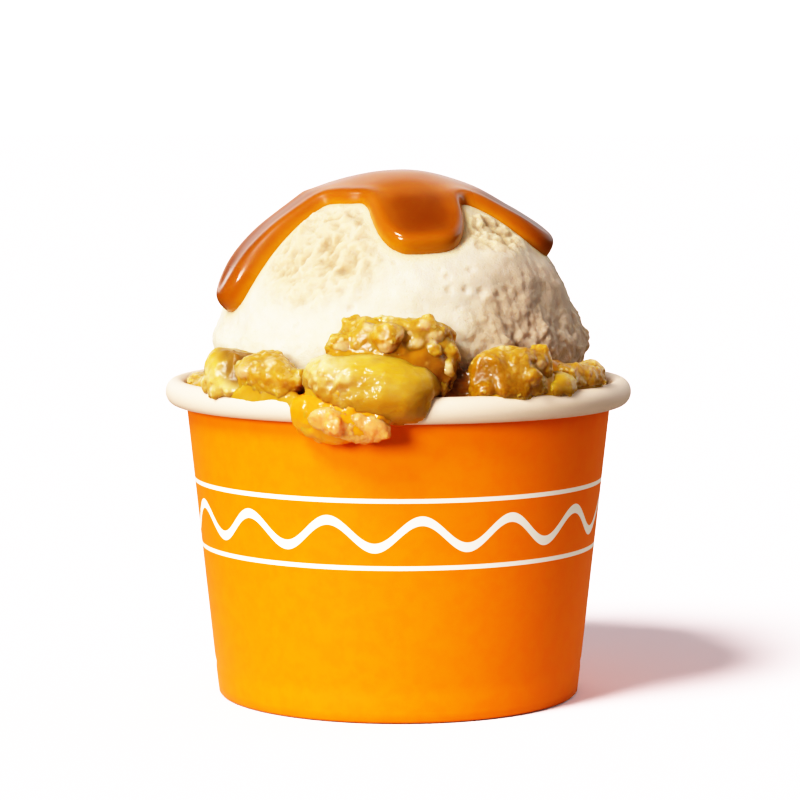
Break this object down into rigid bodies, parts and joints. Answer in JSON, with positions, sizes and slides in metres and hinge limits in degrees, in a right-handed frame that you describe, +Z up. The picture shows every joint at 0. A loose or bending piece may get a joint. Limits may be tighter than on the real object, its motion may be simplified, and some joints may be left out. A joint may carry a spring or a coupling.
{
  "type": "caramel apple cobbler with ice cream in a paper cup",
  "caption": "Warm apple and crumble cobbler in caramel, heaped over the lip of an orange paper dessert cup, with a big scoop of vanilla ice cream under poured caramel sauce.",
  "frame": {"origin": "the middle of the cup's foot, on the surface the cup stands on", "axes": "+Z up along the cup's axis; -Y towards the side where the apple slice and crumble run over the lip; +X to the right of that side"},
  "size_m": [0.095, 0.1038, 0.1077],
  "materials": {
    "printed_paperboard": "smooth coated paperboard, orange print, white rolled lip",
    "white_paperboard": "uncoated white paperboard",
    "cobbler_filling": "wet baked fruit and dough in caramel",
    "vanilla_ice_cream": "scooped, torn and slightly melted",
    "caramel_sauce": "thick glossy sauce",
    "baked_apple": "soft translucent fruit with a syrup glaze",
    "glazed_crumble": "lumpy crumbs under a syrup glaze"
  },
  "bodies": {
    "root": {"paper_cup": "printed_paperboard", "cup_base": "white_paperboard", "cobbler_filling": "cobbler_filling", "ice_cream_scoop": "vanilla_ice_cream", "caramel_sauce": "caramel_sauce", "caramel_overflow": "caramel_sauce", "apple_slice_front": "baked_apple", "apple_chunk_left": "baked_apple", "apple_chunk_right": "baked_apple", "apple_chunk_back_1": "baked_apple", "apple_chunk_back_2": "baked_apple", "apple_chunk_back_3": "baked_apple", "apple_chunk_back_4": "baked_apple", "crumble_clump_front": "glazed_crumble", "crumble_overflow_front": "glazed_crumble", "crumble_clump_left": "glazed_crumble", "crumble_clump_right": "glazed_crumble", "crumble_clump_far_right": "glazed_crumble", "crumble_clump_back_1": "glazed_crumble", "crumble_clump_back_2": "glazed_crumble", "crumble_clump_back_3": "glazed_crumble", "crumble_clump_back_4": "glazed_crumble", "crumble_clump_back_5": "glazed_crumble", "crumble_overflow_back": "glazed_crumble"}
  },
  "joints": []
}
